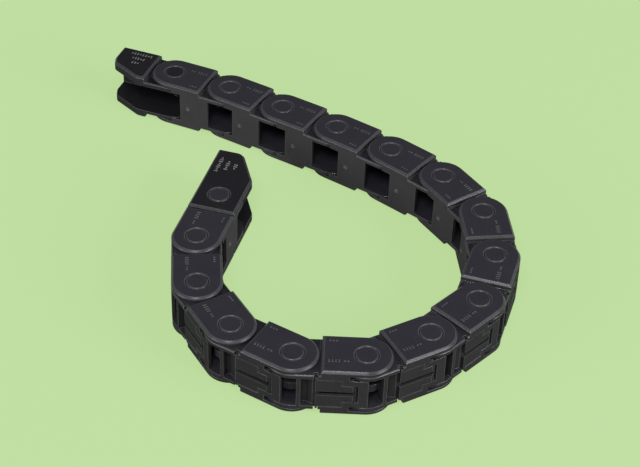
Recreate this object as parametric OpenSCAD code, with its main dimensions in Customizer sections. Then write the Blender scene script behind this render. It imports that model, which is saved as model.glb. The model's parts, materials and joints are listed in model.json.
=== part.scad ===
// Small plastic cable drag chain lying on its side: two end brackets and fifteen
// identical links, each link with a fork-shaped lid on the outside of the bend.
//
// Every pivot axis is parallel to Z. The first bracket runs along +X, +Y is the
// outside of the bend (the lid side) and the chain curls towards -Y.

/* [Chain] */
// Distance between two neighbouring pivots
pitch = 20; // [19.5:0.1:24]
// Height of the side plates, from the inside to the outside of the bend
plate_height = 14.6; // [14:0.1:15]
// Clear width of the cable channel, between the side plates
channel_width = 10; // [8:0.5:16]
// Thickness of each of the two layers that overlap at a pivot
layer = 1.5; // [1.3:0.1:2.2]
// Bend of one pivot from straight to its stop
stop_angle = 30.5; // [20:0.5:31]
// Width of the bevel round the plates
bevel = 0.6; // [0.3:0.1:0.8]

/* [Pivots] */
// Radius of the moulded pivot pin
pin_radius = 3.2; // [2.6:0.1:3.6]
// Radial play of the pin in its hole
pin_play = 0.05; // [0.02:0.01:0.1]
// Depth to which the bars across the channel are rooted in the side plates
plate_root = 0.7; // [0.4:0.1:0.9]
// Gap between the two layers at a pivot
layer_gap = 0.15; // [0.1:0.05:0.3]
// Gap between the round lug and the shoulder of the link before it
shoulder_gap = 0.6; // [0.4:0.1:1]
// Gap round the tongue inside its pocket
tongue_gap = 0.3; // [0.2:0.05:0.4]
// Length of the corner recess in the tongue, along the chain
recess_length = 5; // [3:0.1:5.5]
// Width of the corner recess, across the chain
recess_width = 4.1; // [2.5:0.1:4.5]
// Rim left between the corner recess and the edges of the tongue
recess_rim = 0.6; // [0.4:0.1:1]
// Depth of the corner recess
recess_depth = 0.6; // [0.3:0.1:0.8]
// How far the stop tooth stands out of the tongue
tooth_reach = 1.3; // [0.8:0.1:1.6]
// Half of the angle that the stop tooth covers
tooth_half_angle = 13; // [8:1:16]
// Play between the stop tooth and the end of its slot, as an angle
stop_play = 1; // [0.5:0.1:2]

/* [Crossbar] */
// Distance from the pivot to the crossbar on the inside of the bend
bar_start = 5.4; // [5:0.1:6]
// Length of the crossbar along the chain
bar_length = 9.9; // [8:0.1:10.5]
// Thickness of the crossbar
bar_thickness = 1.1; // [0.8:0.1:1.6]
// Distance from the pivot to the gate mark on the crossbar
gate_distance = 8.2; // [7:0.1:13]
// Radius of the gate mark
gate_radius = 0.7; // [0.4:0.1:1]
// Height of the gate mark
gate_height = 0.15; // [0.1:0.05:0.2]

/* [Lid side] */
// Thickness of the lid and of the bridge in front of it
lid_thickness = 1; // [0.8:0.1:1.2]
// How far the bridge reaches past the pivot, against the run of the chain
bridge_overhang = 0.7; // [0.4:0.1:1]
// Distance from the pivot to the cross slot behind the bridge
slot_start = 2; // [1.6:0.1:2.2]
// Width of the cross slot
slot_width = 1.4; // [1.3:0.1:1.6]
// Half of the length of the cross slot, across the chain
slot_half_length = 3.05; // [2.8:0.05:3.2]
// Half of the width of the slit between the two prongs
slit_half_width = 0.75; // [0.4:0.05:1]
// Distance from the pivot to the end of the rails that carry the hinge
rail_end = 6.2; // [6:0.1:6.5]
// Distance from the pivot to the tips of the prongs
prong_end = 13.5; // [13.2:0.1:14]
// Length of the snap ear at the tip of each prong, along the chain
ear_length = 0.6; // [0.4:0.1:0.8]
// How far a snap ear reaches into the side plate
ear_reach = 0.7; // [0.4:0.1:0.9]
// Height of a snap ear, from the outer face
ear_height = 0.8; // [0.6:0.1:0.9]
// Length of the notch in the side plate that takes a snap ear
ear_notch_length = 1.2; // [1:0.1:1.4]
// Length of the notch in the side plate beside the hinge
hinge_notch_length = 2.4; // [1.6:0.1:2.6]
// Depth of both notches in the side plate
notch_depth = 1.3; // [1.1:0.1:1.5]
// Play between the lid and what is round it
lid_play = 0.15; // [0.1:0.05:0.2]
// Radius of the hinge rod of the lid
rod_radius = 0.45; // [0.4:0.05:0.5]
// Radial play of the hinge rod
rod_play = 0.05; // [0.03:0.01:0.08]
// Depth of the hinge rod's middle below the outer face
rod_depth = 0.7; // [0.65:0.05:0.8]
// Width of the boss round the hinge rod
boss_width = 2; // [1.8:0.1:2.4]
// Depth of the boss below the outer face
boss_depth = 1.7; // [1.6:0.1:2]
// Width of the strip at the far end of the pry pocket
strip_width = 1.1; // [0.8:0.1:1.4]
// Distance from that strip to the next pivot
strip_back = 1.4; // [1.2:0.1:1.8]
// Depth of the floor of the pry pocket
pocket_depth = 2.1; // [1.8:0.1:2.4]
// Thickness of the floor of the pry pocket
pocket_floor = 0.8; // [0.6:0.1:1]
// Width of the ledge under the tips of the prongs
ledge_width = 1.6; // [1.2:0.1:2]
// Length of the ramp from the ledge down to the floor
ramp_length = 1.8; // [1:0.1:2]
// Half of the width of the guard finger in front of the strip
finger_half_width = 1.2; // [0.8:0.1:1.6]
// Angle to which the guard finger reaches round the next pivot
finger_end_angle = 60; // [50:1:75]

/* [Brackets] */
// Distance from the pivot to the free end of a bracket
bracket_reach = 21.6; // [19:0.1:26]
// Height of the free end of a bracket
bracket_end_height = 6.9; // [6:0.1:8]
// Small corner between the free end and the slanted edge, along the chain
bracket_corner_length = 1.1; // [0.5:0.1:1.5]
// The same corner of the fixed bracket, across the chain
fixed_corner_drop = 2.9; // [2:0.1:3.2]
// The same corner of the moving bracket, across the chain
moving_corner_drop = 1.6; // [1.4:0.1:2.6]
// Small flats that break the inner corners of the bracket plates
corner_cut = 0.4; // [0.2:0.05:0.6]
// Straight inner edge of the fixed bracket, measured from its shoulder
fixed_inner_edge = 2.9; // [2:0.1:3.4]
// Straight inner edge of the moving bracket, measured from its pivot
moving_inner_edge = 9.6; // [8.2:0.1:10.5]
// Distance from the moving bracket's square end to its pivot
moving_end_back = 7.2; // [6.8:0.1:7.3]
// Bend of the last pivot, where the bracket's square end meets the last shoulder
last_stop_angle = 4.5; // [2:0.5:4.5]
// Thickness of the screw wall
wall_thickness = 2; // [1.6:0.1:2.2]
// Radius of the screw holes
screw_radius = 1.65; // [1.2:0.05:1.8]
// Distance between the two screw holes
screw_spacing = 8; // [6:0.5:9]
// Distance from the free end to the middle of the two screw holes
screw_inset = 8; // [6.5:0.1:8.4]

/* [Hidden] */
// Bend of each pivot in the stored lay, from the fixed bracket to the moving one
rest_bends = [3, 7, 0.5, 3, 5.5, 17, 28, 23, 28, 16.5, 30, 29.5, 28.5, 26.5, 20, 0];
link_count = len(rest_bends) - 1;
link_numbers = [for (i = [1:link_count]) i];

half_height = plate_height / 2;
inner_z = channel_width / 2;
lap_z = inner_z + layer;
rooted_z = inner_z + plate_root;
outer_z = lap_z + layer;
tongue_z = lap_z - layer_gap;
shoulder = half_height + shoulder_gap;
shoulder_x = pitch - shoulder;
pocket_radius = half_height + tongue_gap;
tooth_radius = half_height + tooth_reach;
tooth_slot_radius = tooth_radius + tongue_gap;
hole_radius = pin_radius + pin_play;

lid_z = inner_z - lid_play;
lid_bottom = half_height - lid_thickness;
hinge_x = slot_start + slot_width / 2;
hinge_y = half_height - rod_depth;
root_x = slot_start + slot_width;
rail_inner_z = slot_half_length;
strip_x = pitch - strip_back - strip_width;
ear_notch_start = prong_end - ear_length - lid_play;
floor_top = half_height - pocket_depth;
floor_bottom = floor_top - pocket_floor;
finger_outer = floor_top - 0.2;
finger_inner = finger_outer - pocket_floor;
finger_start_angle = 90 + asin(strip_back / finger_outer) + 4;

screw_distance = bracket_reach - screw_inset;

// The fixed bracket's screw holes are the reference point of the whole chain
first_pivot = [screw_distance, -half_height];

// Depth by which a cutting shape passes the face that it cuts
over = 1;
$fn = 64;

black = "#2b2a30";
bar_grey = "#34343a";

// Turn of a link from the fixed bracket, after the first count pivots
function heading(count) = count == 0 ? 0 : heading(count - 1) - rest_bends[count - 1];

// Place of a pivot, counted from 1
function pivot(number) = number == 1
    ? first_pivot
    : pivot(number - 1) + pitch * [cos(heading(number - 1)), sin(heading(number - 1))];

// Moves a shape from its own pivot to its place in the chain
module at_pivot(number) {
    translate(pivot(number)) rotate([0, 0, heading(number)]) children();
}

// Draws a shape and its mirror image across the middle plane of the chain
module both_sides() {
    children();
    mirror([0, 0, 1]) children();
}

// Block between two corners
module block(low, high) {
    translate(low) cube(high - low);
}

// Straight slab along X, full plate height, with the two long outer edges bevelled
module bevelled_slab(x_from, x_to, z_from, z_to, edge) {
    translate([x_from, 0, 0]) rotate([90, 0, 90]) linear_extrude(x_to - x_from)
        polygon([
            [-half_height, z_from], [half_height, z_from],
            [half_height, z_to - edge], [half_height - edge, z_to],
            [edge - half_height, z_to], [-half_height, z_to - edge]
        ]);
}

// Half of a round plate end with a bevelled rim, open towards -X after the turn
module bevelled_end(z_from, z_to, edge, turn) {
    rotate([0, 0, turn]) rotate_extrude(angle = 180)
        polygon([
            [0, z_from], [half_height, z_from], [half_height, z_to - edge],
            [half_height - edge, z_to], [0, z_to]
        ]);
}

// Ring segment round a pivot, between two radii and two angles
module ring_segment(r_from, r_to, angle_from, angle_to, z_from, z_to) {
    rotate([0, 0, angle_from]) rotate_extrude(angle = angle_to - angle_from)
        polygon([[r_from, z_from], [r_to, z_from], [r_to, z_to], [r_from, z_to]]);
}

// Long cutter that bevels the top edge of a plate, running from corner a to corner b
module edge_cutter(a, b, z_top, edge) {
    run = b - a;
    translate([a[0], a[1], z_top]) rotate([0, 0, atan2(run[1], run[0])])
        rotate([45, 0, 0])
            translate([-over, -edge * sqrt(0.5), -edge * sqrt(0.5)])
                cube([norm(run) + 2 * over, edge * sqrt(2), edge * sqrt(2)]);
}

// Flat pocket for the tongue of the neighbour, with the slot for its stop tooth
module tongue_pocket(bend) {
    translate([0, 0, inner_z - over]) cylinder(r = pocket_radius, h = layer + over);
    ring_segment(
        pocket_radius - over, tooth_slot_radius,
        -tooth_half_angle - stop_play, bend + tooth_half_angle + stop_play,
        inner_z - over, lap_z
    );
}

// Hole for the pivot pin, with a small bevel at its mouth
module pin_hole() {
    translate([0, 0, lap_z - over]) cylinder(r = hole_radius, h = layer + 2 * over);
    translate([0, 0, outer_z - bevel / 2])
        cylinder(r1 = hole_radius, r2 = hole_radius + bevel / 2 + over, h = bevel / 2 + over);
}

// Shallow triangular recess in the tongue's corner, on the inside of the bend
module corner_recess() {
    corner = [recess_rim - shoulder, recess_rim - half_height];
    translate([0, 0, tongue_z - recess_depth]) linear_extrude(recess_depth + over)
        polygon([corner, corner + [recess_length, 0], corner + [0, recess_width]]);
}

// Inner layer that reaches under the neighbour's lug: tongue, stop tooth and pin.
// Its pivot is at the origin and it starts at the shoulder, on the -X side.
module tongue() {
    difference() {
        bevelled_slab(-shoulder, 0, inner_z, tongue_z, bevel / 2);
        corner_recess();
    }
    bevelled_end(inner_z, tongue_z, bevel / 2, -90);
    ring_segment(
        half_height - over, tooth_radius, -tooth_half_angle, tooth_half_angle,
        inner_z, tongue_z - bevel / 2
    );
    translate([0, 0, inner_z]) cylinder(r = pin_radius, h = outer_z - inner_z - bevel / 2);
    translate([0, 0, outer_z - bevel / 2])
        cylinder(r1 = pin_radius, r2 = pin_radius - bevel / 2, h = bevel / 2);
}

// Raised part of a link's side plate: round lug, full-thickness middle and shoulder
module raised_plate() {
    difference() {
        union() {
            bevelled_slab(0, shoulder_x, inner_z, outer_z, bevel);
            bevelled_end(lap_z, outer_z, bevel, 90);
        }
        tongue_pocket(stop_angle);
        pin_hole();
        edge_cutter([shoulder_x, -half_height], [shoulder_x, half_height], outer_z, bevel);
    }
}

// Guard finger that closes the outside when the next pivot is bent
module guard_finger() {
    ring_segment(
        finger_inner, finger_outer, finger_end_angle, finger_start_angle,
        -finger_half_width, finger_half_width
    );
}

// Crossbar on the inside of the bend, with its round gate mark
module crossbar() {
    block(
        [bar_start, -half_height, -rooted_z],
        [bar_start + bar_length, bar_thickness - half_height, rooted_z]
    );
    translate([gate_distance, -half_height, 0])
        rotate([90, 0, 0]) cylinder(r = gate_radius, h = gate_height);
}

// Ledge under the lid's tips, ramp, pocket floor and end strip, as one profile
module pry_pocket() {
    ledge_x = prong_end - ledge_width / 2;
    ledge_top = lid_bottom - rod_play;
    translate([0, 0, -rooted_z]) linear_extrude(2 * rooted_z)
        polygon([
            [ledge_x, floor_bottom], [ledge_x, ledge_top],
            [ledge_x + ledge_width, ledge_top],
            [ledge_x + ledge_width + ramp_length, floor_top],
            [strip_x, floor_top], [strip_x, half_height],
            [strip_x + strip_width, half_height], [strip_x + strip_width, floor_bottom]
        ]);
}

// Bridge over the channel in front of the lid, with the two rails that hold its hinge
module lid_bridge() {
    difference() {
        union() {
            block(
                [-bridge_overhang, lid_bottom, -lid_z],
                [slot_start, half_height, lid_z]
            );
            both_sides() {
                block([0, lid_bottom, rail_inner_z], [rail_end, half_height, lid_z]);
                block(
                    [sqrt(pow(pocket_radius, 2) - pow(lid_bottom, 2)) + lid_play,
                        lid_bottom, rail_inner_z],
                    [rail_end, half_height, lap_z]
                );
                block(
                    [hinge_x - boss_width / 2, half_height - boss_depth, rail_inner_z],
                    [hinge_x + boss_width / 2, half_height, lid_z]
                );
            }
        }
        translate([hinge_x, hinge_y, -inner_z + lid_play / 2])
            cylinder(r = rod_radius + rod_play, h = 2 * inner_z - lid_play);
    }
}

// Notch in the inner layer of a side plate, open to the outside of the bend
module side_notch(start, length) {
    block(
        [start, half_height - notch_depth, inner_z - over],
        [start + length, half_height + over, lap_z]
    );
}

// One link of the chain, with its lug's pivot at the origin
module link_body() {
    color(black) {
        both_sides() difference() {
            union() {
                raised_plate();
                translate([pitch, 0, 0]) tongue();
            }
            side_notch(slot_start, hinge_notch_length);
            side_notch(ear_notch_start, ear_notch_length);
        }
        lid_bridge();
        pry_pocket();
        translate([pitch, 0, 0]) guard_finger();
    }
    color(bar_grey) crossbar();
}

// Fork-shaped lid: two prongs with a slit between them, on a common hinge rod
module lid() {
    color(black) {
        translate([hinge_x, hinge_y, 0.35 - lid_z])
            cylinder(r = rod_radius, h = 2 * (lid_z - 0.35));
        both_sides() {
            block(
                [rail_end + lid_play, lid_bottom, slit_half_width],
                [prong_end, half_height, lid_z]
            );
            block(
                [prong_end - ear_length, half_height - ear_height, lid_z - over],
                [prong_end, half_height, inner_z + ear_reach]
            );
            block(
                [root_x, lid_bottom, slit_half_width],
                [rail_end + 2 * lid_play, half_height, rail_inner_z - lid_play]
            );
            block(
                [hinge_x, hinge_y - rod_radius, slit_half_width],
                [root_x + lid_play, hinge_y + rod_radius, rail_inner_z - lid_play]
            );
        }
    }
}

// Two screw holes through the outer wall, on its middle line
module screw_holes(middle_x) {
    for (side = [-1, 1])
        translate([middle_x + side * screw_spacing / 2, half_height + over, 0])
            rotate([90, 0, 0]) cylinder(r = screw_radius, h = wall_thickness + 2 * over);
}

// Point on the run from one point to another, at a distance from the first
function towards(a, b, distance) = a + distance * (b - a) / norm(b - a);

// Outline with a small flat at its corner number i, cut off at a distance on both sides
function cut_corner(outline, i, distance) = [
    for (j = [0:len(outline) - 1])
        each j != i ? [outline[j]] : [
            towards(outline[i], outline[i - 1], distance),
            towards(outline[i], outline[i + 1], distance)
        ]
];

// Outline of a bracket's side plate, from the outer edge at the free end. root is the
// square edge at the chain, inner_edge the end of the straight inner edge and
// corner_drop the height of the small corner at the free end.
function bracket_outline(root, inner_edge, corner_drop) =
    let (
        sharp = [
            [bracket_reach, half_height],
            [bracket_reach, half_height - bracket_end_height],
            [bracket_reach - bracket_corner_length,
                half_height - bracket_end_height - corner_drop],
            [inner_edge, -half_height],
            [root, -half_height],
            [root, half_height]
        ]
    )
    cut_corner(cut_corner(cut_corner(sharp, 3, corner_cut), 2, corner_cut), 1, corner_cut);

// Bevelled bracket plate, full thickness
module bracket_plate(outline) {
    difference() {
        translate([0, 0, inner_z]) linear_extrude(outer_z - inner_z) polygon(outline);
        for (i = [0:len(outline) - 1])
            edge_cutter(outline[i], outline[(i + 1) % len(outline)], outer_z, bevel);
    }
}

// Bracket at the fixed end: its tongues carry pins for the first link
module fixed_bracket() {
    color(black) {
        both_sides() {
            mirror([1, 0, 0]) bracket_plate(bracket_outline(
                shoulder, shoulder + fixed_inner_edge, fixed_corner_drop
            ));
            tongue();
        }
        difference() {
            union() {
                block(
                    [-bracket_reach, half_height - wall_thickness, -rooted_z],
                    [-strip_back, half_height, rooted_z]
                );
                block(
                    [-strip_back - strip_width, floor_bottom, -rooted_z],
                    [-strip_back, half_height, rooted_z]
                );
            }
            screw_holes(-screw_distance);
        }
        guard_finger();
    }
}

// Bracket at the moving end: its plates lie outside the last link's tongues
module moving_bracket() {
    near_wall_x = pocket_radius + tongue_gap;
    color(black) {
        both_sides() difference() {
            bracket_plate(bracket_outline(
                -moving_end_back, moving_inner_edge, moving_corner_drop
            ));
            tongue_pocket(last_stop_angle);
            block([-moving_end_back - over, -half_height - over, inner_z - over],
                [0, half_height + over, lap_z]);
            pin_hole();
        }
        difference() {
            union() {
                block(
                    [-bridge_overhang, half_height - wall_thickness, -lid_z],
                    [near_wall_x + over, half_height, lid_z]
                );
                block(
                    [near_wall_x, half_height - wall_thickness, -rooted_z],
                    [bracket_reach, half_height, rooted_z]
                );
            }
            screw_holes(screw_distance);
        }
    }
}

at_pivot(1) rotate([0, 0, rest_bends[0]]) fixed_bracket();
for (i = link_numbers) {
    at_pivot(i) link_body();
    at_pivot(i) lid();
}
at_pivot(link_count + 1) moving_bracket();
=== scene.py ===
"""A small plastic cable drag chain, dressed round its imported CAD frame.

The chain lies on its side on a plain floor: a fixed bracket, fifteen links with
fork-shaped lids and a moving bracket. Every CAD node keeps its shape. The classes here
round its edges, give it its moulded plastic and add the small moulded marks.
"""

import logging
import math
from dataclasses import dataclass, field, replace
from enum import Enum, IntEnum
from typing import Iterator, Optional, Sequence, Union

import bmesh
import bpy
from mathutils import Matrix, Vector
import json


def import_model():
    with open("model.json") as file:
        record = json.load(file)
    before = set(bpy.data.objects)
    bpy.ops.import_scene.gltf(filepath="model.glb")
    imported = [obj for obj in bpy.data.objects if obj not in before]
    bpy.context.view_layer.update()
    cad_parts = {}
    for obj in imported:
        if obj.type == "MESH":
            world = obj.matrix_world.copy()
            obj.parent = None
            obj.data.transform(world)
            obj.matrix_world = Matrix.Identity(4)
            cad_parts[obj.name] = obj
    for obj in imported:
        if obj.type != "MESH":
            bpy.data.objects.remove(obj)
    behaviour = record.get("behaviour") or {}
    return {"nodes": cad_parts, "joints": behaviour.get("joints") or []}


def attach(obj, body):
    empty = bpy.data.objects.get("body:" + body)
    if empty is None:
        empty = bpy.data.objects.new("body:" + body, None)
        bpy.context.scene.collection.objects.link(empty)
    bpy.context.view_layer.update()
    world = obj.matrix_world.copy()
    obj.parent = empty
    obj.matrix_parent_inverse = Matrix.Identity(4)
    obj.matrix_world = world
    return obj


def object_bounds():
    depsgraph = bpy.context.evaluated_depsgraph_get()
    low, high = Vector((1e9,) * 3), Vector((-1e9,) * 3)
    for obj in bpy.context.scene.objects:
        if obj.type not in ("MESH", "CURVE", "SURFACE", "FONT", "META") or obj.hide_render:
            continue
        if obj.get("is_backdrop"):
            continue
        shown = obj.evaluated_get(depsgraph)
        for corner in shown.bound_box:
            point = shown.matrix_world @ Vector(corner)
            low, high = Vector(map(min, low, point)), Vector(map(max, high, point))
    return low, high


LOG = logging.getLogger("drag_chain")

MILLIMETRE = 0.001

# The average of a noise texture, and how strong its finer octaves are.
NOISE_MEAN = 0.5
NOISE_ROUGHNESS = 0.6

# The rise of a 45 degree face's normal, and how fast the painted bevel highlight and the polish fade as
# a face leaves that slope.
BEVEL_RISE = math.sqrt(0.5)
BEVEL_FALLOFF = 7.0

# The sockets of a Mix node that serve when it mixes colours.
FIRST_COLOUR, SECOND_COLOUR, MIXED_COLOUR = 6, 7, 2

Number = Union[int, float]
Colour = tuple[float, float, float]


class Side(Enum):
    """The two side plates, by the sign of their Z."""

    UPPER = 1
    LOWER = -1


class Mark(Enum):
    """The plain forms of a moulded mark."""

    PIP = "pip"
    BAR = "bar"


class PlasticSlot(IntEnum):
    """The material slots of a CAD node, in order; a node has as many as it needs."""

    BODY = 0
    EDGE = 1
    FLANK = 2
    CROSSBAR = 3


# ---------------------------------------------------------------- shader tools


class Socket:
    """An output socket whose Python operators add Math nodes to its tree."""

    def __init__(self, tree: "Tree", link: bpy.types.NodeSocket) -> None:
        """Wraps one output socket.

        Args:
            tree: The tree that the socket belongs to.
            link: The output socket itself.
        """
        self.tree = tree
        self.link = link

    def _math(self, operation: str, first: "Operand", second: "Operand") -> "Socket":
        """Adds one Math node on two values.

        Args:
            operation: The operation of the Math node.
            first: Its first value, a number or a socket.
            second: Its second value, a number or a socket.

        Returns:
            The node's result.
        """
        settings = {"operation": operation}
        return self.tree.node("ShaderNodeMath", settings, {0: first, 1: second})

    def __add__(self, other: "Operand") -> "Socket":
        """Adds a value."""
        return self._math("ADD", self, other)

    def __radd__(self, other: "Operand") -> "Socket":
        """Adds to a number on the left."""
        return self._math("ADD", other, self)

    def __sub__(self, other: "Operand") -> "Socket":
        """Subtracts a value."""
        return self._math("SUBTRACT", self, other)

    def __rsub__(self, other: "Operand") -> "Socket":
        """Is subtracted from a number on the left."""
        return self._math("SUBTRACT", other, self)

    def __mul__(self, other: "Operand") -> "Socket":
        """Multiplies by a value."""
        return self._math("MULTIPLY", self, other)

    def __abs__(self) -> "Socket":
        """Drops the sign."""
        return self.tree.node("ShaderNodeMath", {"operation": "ABSOLUTE"}, {0: self})

    def clamped(self) -> "Socket":
        """Limits the value to the range from 0 to 1.

        Returns:
            The limited value.
        """
        settings = {"operation": "ADD", "use_clamp": True}
        return self.tree.node("ShaderNodeMath", settings, {0: self, 1: 0.0})


Operand = Union[Number, Socket]
Value = Union[Number, Sequence[float], Socket]


class Tree:
    """A material's node tree with one method that makes every node."""

    def __init__(self, material: bpy.types.Material) -> None:
        """Empties the tree of a material.

        Args:
            material: The material to fill.
        """
        material.use_nodes = True
        self.nodes = material.node_tree.nodes
        self.links = material.node_tree.links
        self.nodes.clear()

    def node(
        self,
        kind: str,
        settings: Optional[dict[str, object]] = None,
        values: Optional[dict[Union[int, str], Value]] = None,
        output: Union[int, str] = 0,
    ) -> Optional[Socket]:
        """Makes a node, sets it up and links or fills its inputs.

        Args:
            kind: The node's type.
            settings: Its own settings, which are set first; "stops" fills a ramp.
            values: What each input socket gets, a number, a colour or a link.
            output: Which output is returned.

        Returns:
            The chosen output, the first one by default, or None if the node has none.
        """
        made = self.nodes.new(kind)
        for name, value in (settings or {}).items():
            if name == "stops":
                self._fill_ramp(made, value)
            else:
                setattr(made, name, value)
        for name, value in (values or {}).items():
            if isinstance(value, Socket):
                self.links.new(value.link, made.inputs[name])
            else:
                made.inputs[name].default_value = value
        return Socket(self, made.outputs[output]) if made.outputs else None

    @staticmethod
    def _fill_ramp(made: bpy.types.Node, stops: Sequence[tuple[float, float]]) -> None:
        """Sets the two stops of a colour ramp to greys.

        Args:
            made: The ramp's node.
            stops: Two pairs of a place on the ramp and a grey level.
        """
        for element, (place, level) in zip(made.color_ramp.elements, stops):
            element.position = place
            element.color = (level, level, level, 1.0)


# ---------------------------------------------------------------- finishes


@dataclass(frozen=True)
class MouldedPlastic:
    """Black injection-moulded polyamide with a fine spark-eroded grain.

    Sizes and depths are in metres. The lighter colour shows at random on all faces as wear,
    and on 45 degree bevels as a painted highlight; wear and the bevel setting say how far, and
    bevel_polish is how much smoother a bevel is.
    """

    name: str
    colour: Colour
    streak_colour: Colour
    wear_and_highlight_colour: Colour
    roughness: float = 0.47
    roughness_swing: float = 0.16
    grain_size: float = 0.00022
    grain_depth: float = 0.000012
    grain_strength: float = 0.8
    ripple_size: float = 0.0035
    ripple_depth: float = 0.00002
    ripple_strength: float = 0.7
    streak_size: float = 0.007
    streak_range: tuple[float, float] = (0.35, 0.7)
    speckle_size: float = 0.00088
    wear: float = 0.08
    bevel_highlight: float = 0.32
    bevel_polish: float = 0.20
    specular: float = 0.22

    def build(self) -> bpy.types.Material:
        """Makes the material.

        Returns:
            The new material.
        """
        material = bpy.data.materials.new(self.name)
        tree = Tree(material)
        place = tree.node("ShaderNodeTexCoord", output="Object")
        streaks = self._cloud(tree, place, self.streak_size, detail=4.0)
        speckle = self._cloud(tree, place, self.speckle_size, detail=3.0)
        bevels = self._bevels(tree)
        # Painted highlight: the 45 degree bevels are lightened towards the lighter colour; the speckle
        # adds random wear on all faces.
        painted_bevel_highlight = bevels * (speckle + NOISE_MEAN) * self.bevel_highlight
        wear_and_highlight = (speckle * self.wear + painted_bevel_highlight).clamped()
        stops = list(zip(self.streak_range, (0.0, 1.0)))
        flow = tree.node("ShaderNodeValToRGB", {"stops": stops}, {0: streaks})
        base = self._mix(tree, flow, (*self.colour, 1.0), (*self.streak_colour, 1.0))
        colour = self._mix(tree, wear_and_highlight, base, (*self.wear_and_highlight_colour, 1.0))
        roughness = (
            self.roughness
            + (streaks - NOISE_MEAN) * self.roughness_swing
            + (speckle - NOISE_MEAN) * self.roughness_swing
            - bevels * self.bevel_polish
        )
        shader = tree.node(
            "ShaderNodeBsdfPrincipled",
            values={
                "Base Color": colour,
                "Roughness": roughness.clamped(),
                "Specular IOR Level": self.specular,
                "Normal": self._grain(tree, place),
            },
        )
        tree.node("ShaderNodeOutputMaterial", values={"Surface": shader})
        return material

    @staticmethod
    def _bevels(tree: Tree) -> Socket:
        """Finds the plates' bevelled rims, which handling rubs smooth and which carry a painted
        highlight.

        Args:
            tree: The tree to add to.

        Returns:
            1 on a face that slopes by 45 degrees, 0 on level and upright ones.
        """
        normal = tree.node("ShaderNodeTexCoord", output="Normal")
        rise = abs(tree.node("ShaderNodeSeparateXYZ", values={0: normal}, output="Z"))
        return (1.0 - abs(rise - BEVEL_RISE) * BEVEL_FALLOFF).clamped()

    @staticmethod
    def _cloud(tree: Tree, place: Socket, size: float, detail: float) -> Socket:
        """Makes soft noise of one size.

        Args:
            tree: The tree to add to.
            place: The coordinates.
            size: The size of its blobs in metres.
            detail: How many octaves it has.

        Returns:
            The noise, about 0.5 on average.
        """
        return tree.node(
            "ShaderNodeTexNoise",
            values={
                "Vector": place,
                "Scale": 1.0 / size,
                "Detail": detail,
                "Roughness": NOISE_ROUGHNESS,
            },
        )

    @staticmethod
    def _mix(tree: Tree, factor: Socket, first: Value, second: Value) -> Socket:
        """Mixes two colours.

        Args:
            tree: The tree to add to.
            factor: 0 for the first colour, 1 for the second.
            first: The first colour.
            second: The second colour.

        Returns:
            The mixed colour.
        """
        values = {"Factor": factor, FIRST_COLOUR: first, SECOND_COLOUR: second}
        return tree.node("ShaderNodeMix", {"data_type": "RGBA"}, values, output=MIXED_COLOUR)

    def _grain(self, tree: Tree, place: Socket) -> Socket:
        """Makes the normal of the moulded grain over slow ripples.

        Args:
            tree: The tree to add to.
            place: The coordinates.

        Returns:
            The disturbed normal.
        """
        ripple = self._cloud(tree, place, self.ripple_size, detail=2.0)
        slow = tree.node(
            "ShaderNodeBump",
            values={
                "Height": ripple,
                "Distance": self.ripple_depth,
                "Strength": self.ripple_strength,
            },
        )
        grain = self._cloud(tree, place, self.grain_size, detail=2.0)
        return tree.node(
            "ShaderNodeBump",
            values={
                "Height": grain,
                "Distance": self.grain_depth,
                "Strength": self.grain_strength,
                "Normal": slow,
            },
        )


@dataclass(frozen=True)
class PlainPaper:
    """The plain pale green floor: a flat tone over a grey that takes a faint shadow.

    fibre is that grey, and flatness is the flat tone's share where the floor is seen.
    """

    name: str = "floor_paper"
    colour: Colour = (0.521, 0.723, 0.356)
    fibre: float = 0.45
    roughness: float = 0.95
    flatness: float = 0.8

    def build(self) -> bpy.types.Material:
        """Makes the material: camera and glossy rays see its plain tone.

        Returns:
            The new material.
        """
        material = bpy.data.materials.new(self.name)
        tree = Tree(material)
        path = {name: tree.node("ShaderNodeLightPath", output=name) for name in
                ("Is Camera Ray", "Is Glossy Ray", "Is Transmission Ray")}
        share = self.fibre * (1.0 - self.flatness)
        colour = [(channel - share) / self.flatness for channel in self.colour]
        tone = tree.node("ShaderNodeEmission", values={"Color": (*colour, 1.0), "Strength": 1.0})
        paper = tree.node(
            "ShaderNodeBsdfDiffuse",
            values={"Color": (*[self.fibre] * 3, 1.0), "Roughness": self.roughness},
        )
        seen = (path["Is Camera Ray"] + path["Is Glossy Ray"] + path["Is Transmission Ray"]).clamped()
        surface = tree.node("ShaderNodeMixShader", values={0: seen * self.flatness, 1: paper, 2: tone})
        tree.node("ShaderNodeOutputMaterial", values={"Surface": surface})
        return material


PLATE_PLASTIC = MouldedPlastic(
    name="plate_plastic",
    colour=(0.0194, 0.0180, 0.0250),
    streak_colour=(0.0228, 0.0211, 0.0287),
    wear_and_highlight_colour=(0.110, 0.113, 0.124),
)
BRACKET_PLASTIC = replace(
    PLATE_PLASTIC,
    name="bracket_plastic",
    colour=(0.0075, 0.0070, 0.0095),
    streak_colour=(0.0094, 0.0088, 0.0115),
    specular=0.12,
)
# Painted light: the crossbars' inside faces are the plates' own plastic, lightened to stand in for the
# front light falling on them.
CROSSBAR_LIT_PLASTIC = replace(
    PLATE_PLASTIC,
    name="crossbar_lit_plastic",
    colour=(0.0460, 0.0453, 0.0467),
    streak_colour=(0.0525, 0.0518, 0.0532),
    roughness=0.72,
    specular=0.02,
)
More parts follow.
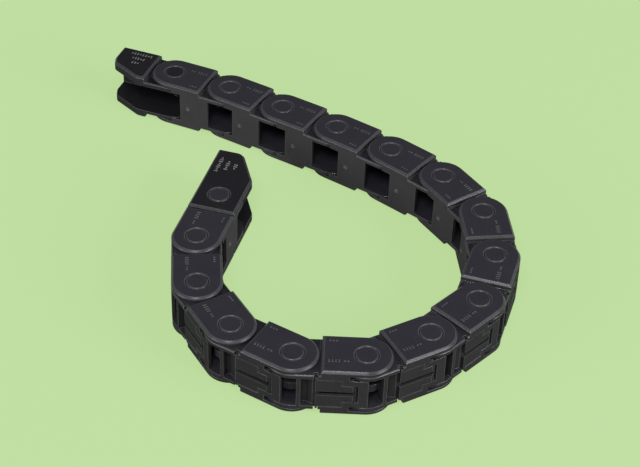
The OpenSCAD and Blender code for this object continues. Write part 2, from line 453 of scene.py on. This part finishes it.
# The upright faces: matt, and lighter than the plate tops, which is painted light on the sides.
FLANK_LIT_PLASTIC = replace(
    PLATE_PLASTIC,
    name="flank_lit_plastic",
    colour=(0.0255, 0.0250, 0.0260),
    streak_colour=(0.0300, 0.0295, 0.0306),
    roughness=0.70,
    specular=0.02,
)
LID_PLASTIC = replace(
    PLATE_PLASTIC,
    name="lid_plastic",
    colour=(0.0225, 0.0218, 0.0232),
    streak_colour=(0.0275, 0.0266, 0.0282),
    roughness=0.70,
    specular=0.02,
    wear=0.12,
)
GATE_PLASTIC = replace(
    PLATE_PLASTIC,
    name="gate_plastic",
    colour=(0.070, 0.070, 0.070),
    streak_colour=(0.110, 0.110, 0.110),
    wear_and_highlight_colour=(0.16, 0.16, 0.16),
    roughness=0.6,
    wear=0.4,
)
# The raised marks are the plates' own plastic; their lighter colour and strongly lightened slopes are
# painted highlight, with random rubbed flecks.
MARK_HIGHLIGHT_PLASTIC = replace(
    PLATE_PLASTIC,
    name="mark_highlight_plastic",
    colour=(0.036, 0.036, 0.041),
    streak_colour=(0.070, 0.070, 0.076),
    wear_and_highlight_colour=(0.15, 0.15, 0.16),
    roughness=0.38,
    wear=0.4,
    bevel_highlight=0.8,
)
# Still lighter on the darker brackets: painted highlight on their raised marks.
BRACKET_MARK_HIGHLIGHT_PLASTIC = replace(
    MARK_HIGHLIGHT_PLASTIC,
    name="bracket_mark_highlight_plastic",
    colour=(0.060, 0.060, 0.065),
    streak_colour=(0.140, 0.140, 0.147),
    wear_and_highlight_colour=(0.30, 0.30, 0.31),
    wear=0.6,
)
# The rounded edges' plastic: its lighter colour is a painted highlight along every edge, with random
# rubbed flecks.
EDGE_HIGHLIGHT_PLASTIC = replace(
    PLATE_PLASTIC,
    name="edge_highlight_plastic",
    colour=(0.036, 0.036, 0.041),
    streak_colour=(0.055, 0.055, 0.061),
    wear_and_highlight_colour=(0.13, 0.132, 0.142),
    roughness=0.28,
    specular=0.55,
    wear=0.4,
)


# ---------------------------------------------------------------- chain frame


@dataclass(frozen=True)
class Station:
    """A place along the chain: a pivot and the direction of the piece that it carries."""

    pivot: Vector
    heading: float

    def matrix(self) -> Matrix:
        """Gives the matrix from the piece's own lengths to the row frame."""
        return Matrix.Translation(self.pivot) @ Matrix.Rotation(self.heading, 4, "Z")


class ChainLine:
    """The line of pivots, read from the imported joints."""

    def __init__(self, joints: Sequence[dict]) -> None:
        """Reads the pivots in order.

        Args:
            joints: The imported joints.
        """
        places = {j["name"]: Vector(j["pos_m"]) for j in joints}
        self.count = sum(1 for name in places if name.startswith("lid_hinge_"))
        self.pivots = [places[f"pivot_{i}"] for i in range(1, self.count + 2)]

    def link(self, number: int) -> Station:
        """Finds a link.

        Args:
            number: The link's number, from 1.

        Returns:
            Its first pivot and its direction.
        """
        start, end = self.pivots[number - 1 : number + 1]
        run = end - start
        return Station(start, math.atan2(run.y, run.x))

    def fixed_end(self) -> Station:
        """Gives the fixed bracket's pivot and direction."""
        return Station(self.pivots[0], 0.0)

    def moving_end(self) -> Station:
        """Gives the moving bracket's pivot; at rest it stands in line with the last link."""
        return Station(self.pivots[-1], self.link(self.count).heading)


# ---------------------------------------------------------------- mesh tools


def add_object(name: str, data: bpy.types.ID) -> bpy.types.Object:
    """Makes an object from its data and links it into the scene."""
    made = bpy.data.objects.new(name, data)
    bpy.context.scene.collection.objects.link(made)
    return made


def mesh_object(name: str, shape: bmesh.types.BMesh, station: Station) -> bpy.types.Object:
    """Turns a bmesh in a piece's own lengths into an object in the row frame.

    Args:
        name: The object's name.
        shape: The bmesh, which is freed.
        station: Where the piece stands.

    Returns:
        The new object.
    """
    bmesh.ops.recalc_face_normals(shape, faces=shape.faces)
    shape.transform(station.matrix())
    mesh = bpy.data.meshes.new(name)
    shape.to_mesh(mesh)
    shape.free()
    return add_object(name, mesh)


def close_rings(shape: bmesh.types.BMesh, rings: Sequence[Sequence[bmesh.types.BMVert]]) -> None:
    """Joins rings of corners into a closed solid.

    Args:
        shape: The bmesh that the corners are in.
        rings: The rings, from the foot to the top, with as many corners each.
    """
    for low, high in zip(rings, rings[1:]):
        for i in range(len(low)):
            j = (i + 1) % len(low)
            shape.faces.new((low[i], low[j], high[j], high[i]))
    shape.faces.new(rings[0])
    shape.faces.new(rings[-1])


def add_pillow(
    shape: bmesh.types.BMesh,
    outline: Sequence[Vector],
    base: float,
    side: Side,
    height: float,
    edge: float,
    shoulder: float = 0.55,
) -> None:
    """Adds a raised flat mark with a sloped edge, its foot sunk into a side plate.

    Args:
        shape: The bmesh to add to.
        outline: The corners of its foot, in plan.
        base: Height of the plate's face above the middle plane.
        side: Which plate it is on.
        height: How far it stands out.
        edge: Width of its sloped edge.
        shoulder: The share of the height at which the slope starts.
    """
    middle = sum(outline, Vector((0.0, 0.0))) / len(outline)
    levels = (
        (base - height, 0.0),
        (base + height * shoulder, 0.0),
        (base + height, edge),
    )
    rings = []
    for level, inset in levels:
        ring = []
        for corner in outline:
            reach = corner - middle
            place = middle + reach * (1 - inset / reach.length)
            ring.append(shape.verts.new((place.x, place.y, side.value * level)))
        rings.append(ring)
    close_rings(shape, rings)


def round_outline(centre: Vector, along: float, across: float, steps: int) -> list[Vector]:
    """Makes a stadium outline: two half circles and two straight sides.

    Args:
        centre: Its middle.
        along: Its size along the piece.
        across: Its size across the piece.
        steps: How many corners it has.

    Returns:
        The corners in order.
    """
    radius = min(along, across) / 2
    corners = []
    for i in range(steps):
        angle = 2 * math.pi * (i + 0.5) / steps
        turn = Vector((math.cos(angle), math.sin(angle)))
        shift = Vector((
            math.copysign(along / 2 - radius, turn.x), math.copysign(across / 2 - radius, turn.y)
        ))
        corners.append(centre + shift + turn * radius)
    return corners


@dataclass
class EdgeRounding:
    """The small radius that every moulded edge has. Lengths in metres, the angle in radians."""

    radius: float = 0.09 * MILLIMETRE
    segments: int = 2
    face_weight: int = 100
    weld: float = 0.002 * MILLIMETRE
    sharp_angle: float = math.radians(28)

    def apply(self, piece: bpy.types.Object) -> None:
        """Adds the modifiers that round a CAD node's edges.

        Args:
            piece: The node's object.
        """
        weld = piece.modifiers.new("weld", "WELD")
        weld.merge_threshold = self.weld
        bevel = piece.modifiers.new("edge_radius", "BEVEL")
        bevel.width = self.radius
        bevel.segments = self.segments
        bevel.limit_method = "ANGLE"
        bevel.angle_limit = self.sharp_angle
        bevel.use_clamp_overlap = False
        # The rounded faces take the edge slot, whose lighter colour is a painted highlight.
        bevel.material = PlasticSlot.EDGE
        flats = piece.modifiers.new("flat_faces", "WEIGHTED_NORMAL")
        flats.mode = "FACE_AREA"
        flats.weight = self.face_weight
        for face in piece.data.polygons:
            face.use_smooth = True


def dress(piece: bpy.types.Object, *materials: bpy.types.Material) -> None:
    """Gives an object its materials; every face keeps the first one.

    Args:
        piece: The object.
        *materials: The materials, in the order of the slots.
    """
    piece.data.materials.clear()
    for material in materials:
        piece.data.materials.append(material)


def finish_flanks(piece: bpy.types.Object, upright: float = 0.1) -> None:
    """Gives the upright faces of a CAD node the matt finish of the mould's side walls and a lighter
    colour, which is painted light.

    Args:
        piece: The node's object.
        upright: The most that an upright face's normal may rise.
    """
    for face in piece.data.polygons:
        if abs(face.normal.z) < upright:
            face.material_index = PlasticSlot.FLANK


# ---------------------------------------------------------------- sub-assemblies


@dataclass
class MouldMarks:
    """Plain raised pips and bars on a plate, as a mould leaves them.

    height, edge and face are in metres. The sizes of a pip and a bar, along and across, and
    the form and place of each mark are in the piece's own millimetres.
    """

    height: float = 0.12 * MILLIMETRE
    edge: float = 0.08 * MILLIMETRE
    face: float = 8.0 * MILLIMETRE
    pip: tuple[float, float] = (0.62, 0.62)
    bar: tuple[float, float] = (0.42, 1.20)
    corners: int = 20
    marks: Sequence[tuple[Mark, float, float]] = field(default_factory=tuple)

    def build(self, name: str, station: Station, material: bpy.types.Material) -> bpy.types.Object:
        """Builds the marks of both plates as one piece.

        Args:
            name: The piece's name.
            station: Where the marked piece stands.
            material: The marks' plastic, whose lighter colour is painted highlight.

        Returns:
            The new object.
        """
        shape = bmesh.new()
        for side in Side:
            for kind, x, y in self.marks:
                along, across = self.pip if kind is Mark.PIP else self.bar
                place = Vector((x, y)) * MILLIMETRE
                outline = round_outline(place, along * MILLIMETRE, across * MILLIMETRE, self.corners)
                add_pillow(shape, outline, self.face, side, self.height, self.edge)
        made = mesh_object(name, shape, station)
        dress(made, material)
        return made


@dataclass
class GateNub:
    """The torn-off sprue on a crossbar, a low rough dome. Lengths in metres.

    profile has each ring's share of the radius and of the height. ripples has how many
    waves the outline makes on its way round, and their share of the radius.
    """

    distance: float = 8.2 * MILLIMETRE
    radius: float = 0.5 * MILLIMETRE
    height: float = 0.14 * MILLIMETRE
    sides: int = 20
    profile: Sequence[tuple[float, float]] = ((1.0, -0.5), (1.0, 0.35), (0.72, 0.8), (0.34, 1.0))
    ripples: Sequence[tuple[int, float]] = ((3, 0.09), (7, 0.05))

    def build(self, name: str, station: Station, face: float) -> bpy.types.Object:
        """Builds the nub on the inside face of a crossbar.

        Args:
            name: The piece's name.
            station: Where the link stands.
            face: Distance of the gate mark's face from the line of pivots.

        Returns:
            The new object.
        """
        shape = bmesh.new()
        rings = []
        for share, rise in self.profile:
            ring = []
            for i in range(self.sides):
                angle = 2 * math.pi * i / self.sides
                wobble = 1 + sum(depth * math.sin(waves * angle) for waves, depth in self.ripples)
                reach = self.radius * share * wobble
                ring.append(shape.verts.new((
                    self.distance + reach * math.cos(angle),
                    -face - self.height * rise,
                    reach * math.sin(angle),
                )))
            rings.append(ring)
        close_rings(shape, rings)
        return mesh_object(name, shape, station)


@dataclass
class DragChainLink:
    """One link with its lid: the two CAD nodes, its moulded marks and its gate nub.

    Lengths are in metres, but mark_step and mark_rows are in the link's own millimetres.
    Each of mark_rows has its form, its start along the link, its place across and its count.
    inward_facing is the least that a crossbar's face looks to the inside of the bend.
    """

    number: int
    rounding: EdgeRounding = field(default_factory=EdgeRounding)
    gate: GateNub = field(default_factory=GateNub)
    plate_half_height: float = 7.3 * MILLIMETRE
    gate_mark_height: float = 0.15 * MILLIMETRE
    plate_slack: float = 0.05 * MILLIMETRE
    inward_facing: float = 0.9
    mark_step: float = 0.9
    mark_rows: Sequence[tuple[Mark, float, float, int]] = (
        (Mark.PIP, 5.0, 2.8, 2),
        (Mark.BAR, 7.4, 2.8, 4),
        (Mark.PIP, 8.2, -5.0, 3),
    )

    @property
    def node(self) -> str:
        """The CAD node of the link."""
        return f"link_{self.number}"

    @property
    def lid(self) -> str:
        """The CAD node of its lid."""
        return f"lid_{self.number}"

    def marks(self) -> MouldMarks:
        """Lays out the plain marks: a row behind the pin and three pips in the corner.

        Returns:
            The marks, in the link's own millimetres.
        """
        return MouldMarks(marks=tuple(
            (kind, start + self.mark_step * i, across)
            for kind, start, across, count in self.mark_rows
            for i in range(count)
        ))

    def _finish_crossbar(self, piece: bpy.types.Object, station: Station) -> None:
        """Gives the faces on the inside of the bend the crossbar's slot, whose lighter colour is
        painted light.

        Args:
            piece: The link's CAD node.
            station: Where the link stands.
        """
        inward = station.matrix().to_3x3() @ Vector((0.0, -1.0, 0.0))
        limit = station.pivot.dot(inward) + self.plate_half_height - self.plate_slack
        for face in piece.data.polygons:
            if face.normal.dot(inward) > self.inward_facing and face.center.dot(inward) > limit:
                face.material_index = PlasticSlot.CROSSBAR

    def dress(
        self,
        nodes: dict[str, bpy.types.Object],
        line: ChainLine,
        plastics: dict[str, bpy.types.Material],
    ) -> Iterator[bpy.types.Object]:
        """Dresses the link and its lid.

        Args:
            nodes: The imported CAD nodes.
            line: The line of pivots.
            plastics: The materials by name.

        Yields:
            Each piece of the link.
        """
        station = line.link(self.number)
        for name, finishes, slot in (
            (self.node, (PLATE_PLASTIC, EDGE_HIGHLIGHT_PLASTIC, FLANK_LIT_PLASTIC, CROSSBAR_LIT_PLASTIC), "link_plastic"),
            (self.lid, (LID_PLASTIC, EDGE_HIGHLIGHT_PLASTIC), "lid_plastic"),
        ):
            self.rounding.apply(nodes[name])
            dress(nodes[name], *(plastics[finish.name] for finish in finishes))
            yield nodes[name]
        finish_flanks(nodes[self.node])
        self._finish_crossbar(nodes[self.node], station)
        marks = self.marks().build(f"{self.node}_marks", station, plastics[MARK_HIGHLIGHT_PLASTIC.name])
        nub = self.gate.build(
            f"gate_nub_{self.number}", station, self.plate_half_height + self.gate_mark_height
        )
        dress(nub, plastics[GATE_PLASTIC.name])
        for piece in (marks, nub):
            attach(piece, self.node)
            yield piece


@dataclass
class EndBracket:
    """A screw bracket at one end: its CAD node and its plain marks.

    direction is -1 where the bracket reaches back from its pivot. Each of rows has its start
    along the bracket, its place across and its count. rows and spacing are in millimetres.
    """

    node: str
    direction: int
    rounding: EdgeRounding = field(default_factory=EdgeRounding)
    rows: Sequence[tuple[float, float, int]] = ((10.6, 4.7, 8), (12.2, 2.2, 5), (13.2, -0.3, 3))
    spacing: float = 0.95
    pip_every: int = 3

    def dress(
        self,
        nodes: dict[str, bpy.types.Object],
        station: Station,
        plastics: dict[str, bpy.types.Material],
    ) -> Iterator[bpy.types.Object]:
        """Dresses the bracket.

        Args:
            nodes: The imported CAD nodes.
            station: The bracket's pivot and direction.
            plastics: The materials by name.

        Yields:
            Each piece of the bracket.
        """
        self.rounding.apply(nodes[self.node])
        finishes = (BRACKET_PLASTIC, EDGE_HIGHLIGHT_PLASTIC, FLANK_LIT_PLASTIC)
        dress(nodes[self.node], *(plastics[finish.name] for finish in finishes))
        finish_flanks(nodes[self.node])
        nodes[self.node]
        yield nodes[self.node]
        layout = [
            (
                Mark.BAR if (i + count) % self.pip_every else Mark.PIP,
                self.direction * (start + self.spacing * i),
                y,
            )
            for start, y, count in self.rows
            for i in range(count)
        ]
        marks = MouldMarks(marks=tuple(layout)).build(
            f"{self.node}_marks", station, plastics[BRACKET_MARK_HIGHLIGHT_PLASTIC.name]
        )
        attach(marks, self.node)
        yield marks


# ---------------------------------------------------------------- studio


@dataclass
class SoftBox:
    """One soft square lamp: angles in degrees, lengths in metres, power in watts."""

    name: str
    azimuth: float
    elevation: float
    distance: float
    size: float
    power: float


@dataclass
class Studio:
    """The plain floor, the soft light and the camera.

    Lengths are in metres, angles in degrees, and the lens and the sensor in millimetres.
    """

    aim_from_pivot: tuple[float, float] = (0.07263, -0.05939)
    azimuth: float = 19.04
    elevation: float = 39.80
    roll: float = 2.075
    distance: float = 0.49208
    lens: float = 95.30
    sensor: float = 36.0
    floor_size: float = 6.0
    world_strength: float = 0.20
    lamps: Sequence[SoftBox] = (
        SoftBox("front_soft_box", azimuth=12.0, elevation=52.0, distance=1.0, size=0.3, power=4.8),
        SoftBox("left_soft_box", azimuth=-40.0, elevation=18.0, distance=1.0, size=0.5, power=4.0),
        SoftBox("right_soft_box", azimuth=80.0, elevation=25.0, distance=1.0, size=0.5, power=7.5),
    )

    @staticmethod
    def _direction(azimuth: float, elevation: float) -> Vector:
        """Points from the object towards a place round it.

        Args:
            azimuth: Degrees round Z; 0 stands on the -Y side.
            elevation: Degrees above the horizon.

        Returns:
            The unit direction.
        """
        turn, rise = math.radians(azimuth), math.radians(elevation)
        return Vector((
            math.sin(turn) * math.cos(rise), -math.cos(turn) * math.cos(rise), math.sin(rise)
        ))

    def build_camera(self, first_pivot: Vector, top: float) -> None:
        """Makes the camera at the angle of the reference view.

        Args:
            first_pivot: The first pivot of the chain.
            top: Height of the plates' upper faces.
        """
        data = bpy.data.cameras.new("camera")
        data.lens = self.lens
        data.sensor_width = self.sensor
        camera = add_object("camera", data)
        aim = Vector((
            first_pivot.x + self.aim_from_pivot[0], first_pivot.y + self.aim_from_pivot[1], top
        ))
        back = self._direction(self.azimuth, self.elevation)
        turn = (-back).to_track_quat("-Z", "Y").to_matrix().to_4x4()
        roll = Matrix.Rotation(math.radians(self.roll), 4, "Z")
        camera.matrix_world = Matrix.Translation(aim + back * self.distance) @ turn @ roll
        bpy.context.scene.camera = camera

    def build_light(self, centre: Vector) -> None:
        """Makes the world and the soft boxes.

        Args:
            centre: The middle of the object.
        """
        world = bpy.data.worlds.new("studio")
        world.use_nodes = True
        background = world.node_tree.nodes["Background"]
        background.inputs["Color"].default_value = (1.0, 1.0, 1.0, 1.0)
        background.inputs["Strength"].default_value = self.world_strength
        bpy.context.scene.world = world
        for lamp in self.lamps:
            data = bpy.data.lights.new(lamp.name, "AREA")
            data.size = lamp.size
            data.energy = lamp.power
            made = add_object(lamp.name, data)
            toward = self._direction(lamp.azimuth, lamp.elevation)
            made.location = centre + toward * lamp.distance
            made.rotation_euler = (-toward).to_track_quat("-Z", "Y").to_euler()

    def build_floor(self, centre: Vector, height: float) -> None:
        """Lays the plain floor.

        Args:
            centre: The middle of the object.
            height: The floor's height.
        """
        half = self.floor_size / 2
        shape = bmesh.new()
        corners = [(-half, -half), (half, -half), (half, half), (-half, half)]
        shape.faces.new([shape.verts.new((centre.x + x, centre.y + y, height)) for x, y in corners])
        mesh = bpy.data.meshes.new("floor")
        shape.to_mesh(mesh)
        shape.free()
        floor = add_object("floor", mesh)
        dress(floor, PlainPaper().build())
        floor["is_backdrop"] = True


def write_sizes(before: tuple[Vector, Vector], after: tuple[Vector, Vector]) -> None:
    """Lists the corners of the CAD box and the visual model's box; nothing is written.

    Args:
        before: The box straight after loading.
        after: The box of the finished model.
    """
    rows = [list(map(float, corner)) for corner in (*before, *after)]


def main() -> None:
    """Builds the dressed chain and its studio."""
    logging.basicConfig(level=logging.INFO, format="%(name)s: %(message)s")
    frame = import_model()
    cad_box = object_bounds()
    bpy.context.scene.view_settings.view_transform = "Standard"
    line = ChainLine(frame["joints"])
    finishes = (
        PLATE_PLASTIC, BRACKET_PLASTIC, CROSSBAR_LIT_PLASTIC, LID_PLASTIC, GATE_PLASTIC, MARK_HIGHLIGHT_PLASTIC,
        BRACKET_MARK_HIGHLIGHT_PLASTIC, EDGE_HIGHLIGHT_PLASTIC, FLANK_LIT_PLASTIC,
    )
    plastics = {finish.name: finish.build() for finish in finishes}
    studio = Studio()
    studio.build_camera(line.pivots[0], cad_box[1].z)
    for bracket, station in (
        (EndBracket("fixed_bracket", direction=-1), line.fixed_end()),
        (EndBracket("moving_bracket", direction=1), line.moving_end()),
    ):
        for piece in bracket.dress(frame["nodes"], station, plastics):
            LOG.info("dressed %s", piece.name)
    for number in range(1, line.count + 1):
        for piece in DragChainLink(number).dress(frame["nodes"], line, plastics):
            LOG.info("dressed %s", piece.name)
    low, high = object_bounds()
    centre = (low + high) / 2
    studio.build_light(centre)
    studio.build_floor(centre, low.z)
    write_sizes(cad_box, (low, high))


if __name__ == "__main__":
    main()
